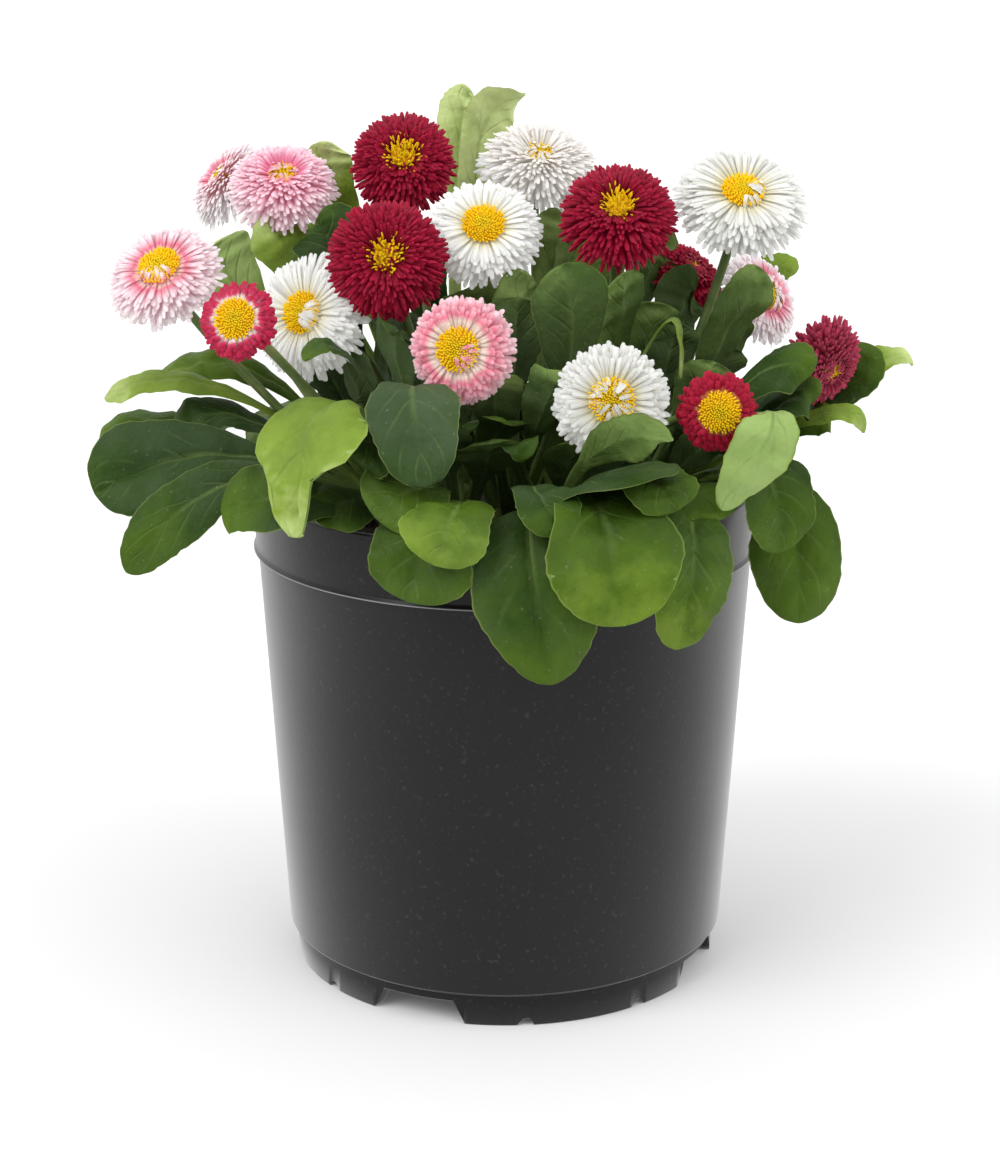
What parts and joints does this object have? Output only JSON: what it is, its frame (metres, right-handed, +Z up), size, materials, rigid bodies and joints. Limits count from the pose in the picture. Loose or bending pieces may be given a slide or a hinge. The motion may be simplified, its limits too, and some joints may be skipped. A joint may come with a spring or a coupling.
{
  "type": "potted english daisy",
  "caption": "English daisy plants with crimson, pink and white double flowers over rosettes of spoon-shaped leaves, growing in a round black plastic nursery pot.",
  "frame": {"origin": "on the ground under the middle of the pot", "axes": "+Z up, -Y toward the picture's camera, +X to its right"},
  "size_m": [0.1972, 0.1569, 0.2092],
  "materials": {
    "pot": "matte injection-moulded black plastic with dust and dried water marks",
    "soil": "moist crumbly peat, modelled at the density of light wood",
    "leaf": "soft mid-green leaf with paler veins and fine hairs, at the density of plant tissue",
    "stalk": "hairy green stem and bracts",
    "petal_crimson": "velvety crimson petals",
    "petal_pink": "soft pink petals with paler tips",
    "petal_white": "soft white petals",
    "disc": "grainy yellow florets"
  },
  "bodies": {
    "root": {"pot": "pot", "soil": "soil", "tuft_back_left": "leaf", "tuft_back_right": "leaf", "tuft_centre": "leaf", "tuft_front_left": "leaf", "tuft_front_right": "leaf", "tuft_left": "leaf", "tuft_right": "leaf", "bloom_01_disc": "disc", "bloom_01_rays": "petal_pink", "bloom_01_stalk": "stalk", "bloom_02_disc": "disc", "bloom_02_rays": "petal_pink", "bloom_02_stalk": "stalk", "bloom_03_disc": "disc", "bloom_03_rays": "petal_pink", "bloom_03_stalk": "stalk", "bloom_04_disc": "disc", "bloom_04_rays": "petal_crimson", "bloom_04_stalk": "stalk", "bloom_05_disc": "disc", "bloom_05_rays": "petal_white", "bloom_05_stalk": "stalk", "bloom_06_disc": "disc", "bloom_06_rays": "petal_crimson", "bloom_06_stalk": "stalk", "bloom_07_disc": "disc", "bloom_07_rays": "petal_crimson", "bloom_07_stalk": "stalk", "bloom_08_disc": "disc", "bloom_08_rays": "petal_white", "bloom_08_stalk": "stalk", "bloom_09_disc": "disc", "bloom_09_rays": "petal_white", "bloom_09_stalk": "stalk", "bloom_10_disc": "disc", "bloom_10_rays": "petal_crimson", "bloom_10_stalk": "stalk", "bloom_11_disc": "disc", "bloom_11_rays": "petal_white", "bloom_11_stalk": "stalk", "bloom_12_disc": "disc", "bloom_12_rays": "petal_crimson", "bloom_12_stalk": "stalk", "bloom_13_disc": "disc", "bloom_13_rays": "petal_white", "bloom_13_stalk": "stalk", "bloom_14_disc": "disc", "bloom_14_rays": "petal_pink", "bloom_14_stalk": "stalk", "bloom_15_disc": "disc", "bloom_15_rays": "petal_white", "bloom_15_stalk": "stalk", "bloom_16_disc": "disc", "bloom_16_rays": "petal_crimson", "bloom_16_stalk": "stalk", "bloom_17_disc": "disc", "bloom_17_rays": "petal_crimson", "bloom_17_stalk": "stalk"}
  },
  "joints": []
}
